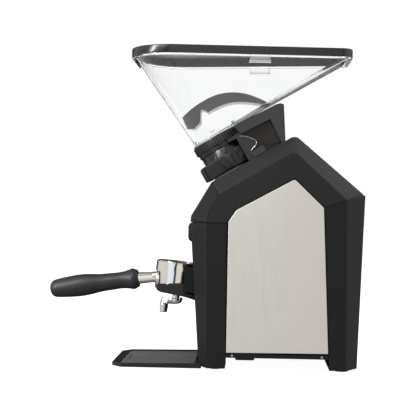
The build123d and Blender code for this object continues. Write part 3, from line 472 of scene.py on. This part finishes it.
def make_neck_collar():
    """Clear flange and lugs round the hopper's neck, above the ring, tinted grey-blue to paint the dark
    refraction streaks.
    """
    bm = bmesh.new()
    add_turned(bm, FLANGE_PROFILE, FLANGE_STEPS, in_stack)
    finish_piece("neck_flange", bm, "clear_painted_streaks", "hopper", bevel=0.0003)
    for number in range(LUG_COUNT):
        bm = bmesh.new()
        angle = 2 * pi * number / LUG_COUNT + LUG_TURN
        low = [in_stack(radius * cos(angle + turn), radius * sin(angle + turn), LUG_LOW)
               for radius, turn in LUG_CORNERS]
        add_prism(bm, low, (0, 0, 0), in_stack(0, 0, LUG_HIGH) - in_stack(0, 0, LUG_LOW))
        finish_piece(f"neck_lug_{number}", bm, "clear_painted_streaks", "hopper", bevel=0.0005)


# ---- chrome wires that stand in for the highlights on the bracket's tongues ----
TONGUE_ROUTE = [(29, 40.2), (36, 36.6), (41.5, 31), (45.6, 25), (47.4, 21.2), (44.8, 17.6), (40, 15.0),
                (33, 13)]       # millimetres along and above the sloped roof
TONGUE_OUT = 47.5               # millimetres from the middle plane
WIRE_RADIUS = 0.00045


def tube(name, points, radius, material, body):
    """Smooth round wire through NURBS control points."""
    curve = bpy.data.curves.new(name, "CURVE")
    curve.dimensions = "3D"
    curve.bevel_depth = radius
    curve.bevel_resolution = 4
    spline = curve.splines.new("NURBS")
    spline.points.add(len(points) - 1)
    for knot, point in zip(spline.points, points):
        knot.co = (*point, 1)
    spline.order_u = 3
    spline.use_endpoint_u = True
    spline.resolution_u = 8
    curve.materials.append(MATERIALS[material])
    wire = bpy.data.objects.new(name, curve)
    bpy.context.scene.collection.objects.link(wire)
    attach(wire, body)


def make_tongue_highlight_wires():
    """Chrome wire along each tongue of the bracket, a stand-in for the bright highlight on its rounded edge.
    """
    for label, side in SIDES.items():
        points = [in_stack(u, side * TONGUE_OUT, n) for u, n in TONGUE_ROUTE]
        tube(f"tongue_highlight_wire_{label}", points, WIRE_RADIUS, "chrome", "body")


# ---- spout ----
CHANNEL_ROUTE = [(-33.4, 97), (-33.8, 92.4), (-36.6, 88.8), (-42, 87.6), (-50, 87.6), (-58, 88.4)]
CHANNEL_HALF_WIDTH = 0.0078
CHANNEL_DEPTH = 0.55            # of the half width
ARC_STEPS = 16
SHELL_THICKNESS = 0.0012
SPOUT_SHELLS = {                # levels of (height, middle, radius), the angle they face, half their span
    "spout_mouth": ([(88.5, -61.9, 6.2), (84.0, -62.0, 6.1), (79.0, -62.4, 5.7), (74.4, -62.8, 5.2)], 0, pi),
    "spout_lip": ([(98.3, -61.0, 4.6), (94.0, -61.2, 5.2), (90.0, -61.7, 6.0), (86.0, -61.9, 6.2)], 0, 0.75),
    "spout_post": ([(96.0, -61.3, 6.0), (92.0, -61.6, 6.1), (86.0, -61.9, 6.2)], pi, 0.6),
}
BOSS_PLACE = (-0.0432, 0, 0.1005)
BOSS_LEAN = 6.5                 # degrees
BOSS_PROFILE = [(3.8, 8.5), (6.4, 8.5), (6.4, 1.0), (5.6, 0.2), (5.6, -4.0), (6.4, -4.8), (6.4, -11.5),
                (3.8, -11.5)]
BOSS_STEPS = 48


def make_spout_channel():
    """Round-bottomed channel that runs forward under the bowl."""
    bm = bmesh.new()
    path = [Vector(point) for point in side_outline(CHANNEL_ROUTE)]
    rows = []
    for i, point in enumerate(path):
        ahead = (path[min(i + 1, len(path) - 1)] - path[max(i - 1, 0)]).normalized()
        lift = Vector((ahead.z, 0, -ahead.x))
        row = []
        for k in range(ARC_STEPS + 1):
            angle = pi * k / ARC_STEPS
            across = Vector((0, -CHANNEL_HALF_WIDTH * cos(angle), 0))
            row.append(bm.verts.new(point + across
                                    + lift * CHANNEL_HALF_WIDTH * CHANNEL_DEPTH * (1 - sin(angle))))
        rows.append(row)
    bridge(bm, rows)
    return finish_piece("spout_channel", bm, "chrome", "portafilter", smooth=True)


def make_spout_shell(name, levels, towards, reach):
    """Upright shell of the chute at the channel's front, closed where it goes all the way round."""
    bm = bmesh.new()
    whole = reach == pi
    rows = []
    for z, x, radius in levels:
        angles = [towards + reach * (2 * k / ARC_STEPS - 1) for k in range(ARC_STEPS + (0 if whole else 1))]
        rows.append([bm.verts.new(Vector((x - radius * cos(a), radius * sin(a), z)) / 1000) for a in angles])
    bridge(bm, rows, whole)
    return finish_piece(name, bm, "chrome", "portafilter", smooth=True)


def make_spout_boss():
    """Grooved boss on the bowl's underside, which carries the channel."""
    bm = bmesh.new()
    turn = Matrix.Translation(BOSS_PLACE) @ Matrix.Rotation(radians(BOSS_LEAN), 4, "Y")
    add_turned(bm, BOSS_PROFILE, BOSS_STEPS, lambda x, y, z: turn @ (Vector((x, y, z)) / 1000))
    return finish_piece("spout_boss", bm, "chrome", "portafilter", bevel=0.0003)


def make_spout():
    """Boss, channel and the open chute that turns the flow down, instead of the plain CAD spout."""
    shells = [make_spout_channel()]
    shells += [make_spout_shell(name, *shape) for name, shape in SPOUT_SHELLS.items()]
    for shell in shells:
        skin = shell.modifiers.new("skin", "SOLIDIFY")
        skin.thickness = SHELL_THICKNESS
        skin.offset = 0
        soft = shell.modifiers.new("soft", "SUBSURF")
        soft.levels = soft.render_levels = 1
    for piece in [*shells, make_spout_boss()]:
        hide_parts("spout")


# ---- base and display ----
PAD_OUTLINE = [(50, 19.1), (51.5, 15.6), (77.5, 15.6), (79, 19.1)]
PAD_MIDDLE, PAD_WIDTH = 0.0815, 0.020


def make_base_pads():
    """Low lumps under the base strip, behind the front legs."""
    for label, side in SIDES.items():
        bm = bmesh.new()
        start = (0, side * PAD_MIDDLE - PAD_WIDTH / 2, 0)
        add_prism(bm, side_outline(PAD_OUTLINE), start, (0, PAD_WIDTH, 0))
        finish_piece(f"base_pad_{label}", bm, "black_plastic", "body", bevel=0.0005)


DISPLAY_TEXT = "125"
SEGMENTS = {"1": "bc", "2": "abged", "5": "afgcd"}
SEGMENT_PLACES = {                      # half widths across, half heights up, whether the bar lies flat
    "a": (0, 1, True), "b": (0.5, 0.5, False), "c": (0.5, -0.5, False), "d": (0, -1, True),
    "e": (-0.5, -0.5, False), "f": (-0.5, 0.5, False), "g": (0, 0, True),
}
DIGIT_PITCH = 0.0125
DIGIT_WIDTH, DIGIT_HALF_HEIGHT = 0.0072, 0.0055
BAR_HALF_FLAT, BAR_HALF_UPRIGHT, BAR_HALF_THIN = 0.0027, 0.0022, 0.00055
BAR_STRAIGHT = 0.8                      # share of the bar before its pointed ends
BAR_DEPTH = 0.00025
DIGIT_OUT = 0.0012
DISPLAY_MIDDLE = Vector((-3.15, 0, 249.05)) / 1000
DISPLAY_UP = Vector((30.3, 0, 51.1)).normalized()
DISPLAY_ACROSS = Vector((0, -1, 0))
DISPLAY_OUT = Vector((-51.1, 0, 30.3)).normalized()


def make_digits():
    """Three lit digits on the display, which faces the user."""
    bm = bmesh.new()
    for number, digit in enumerate(DISPLAY_TEXT):
        centre = DISPLAY_MIDDLE + DISPLAY_ACROSS * (number - 1) * DIGIT_PITCH
        for letter in SEGMENTS[digit]:
            x, z, flat = SEGMENT_PLACES[letter]
            spot = centre + DISPLAY_ACROSS * x * DIGIT_WIDTH + DISPLAY_UP * z * DIGIT_HALF_HEIGHT
            long, thin = (DISPLAY_ACROSS, DISPLAY_UP) if flat else (DISPLAY_UP, DISPLAY_ACROSS)
            end = long * (BAR_HALF_FLAT if flat else BAR_HALF_UPRIGHT)
            edge = thin * BAR_HALF_THIN
            corners = [spot - end, spot - end * BAR_STRAIGHT + edge, spot + end * BAR_STRAIGHT + edge,
                       spot + end, spot + end * BAR_STRAIGHT - edge, spot - end * BAR_STRAIGHT - edge]
            add_prism(bm, corners, DISPLAY_OUT * DIGIT_OUT, DISPLAY_OUT * BAR_DEPTH)
    finish_piece("display_digits", bm, "lit_segment", "body")


make_camera()
make_world()
make_lights()
make_floor()
bpy.context.scene.view_settings.view_transform = "Standard"
MATERIALS = make_materials()
paint_nodes()
soften_edges()
make_lid_hook()
make_clip_tabs()
make_tongue_highlight_wires()
make_neck_collar()
make_spout()
make_base_pads()
make_digits()
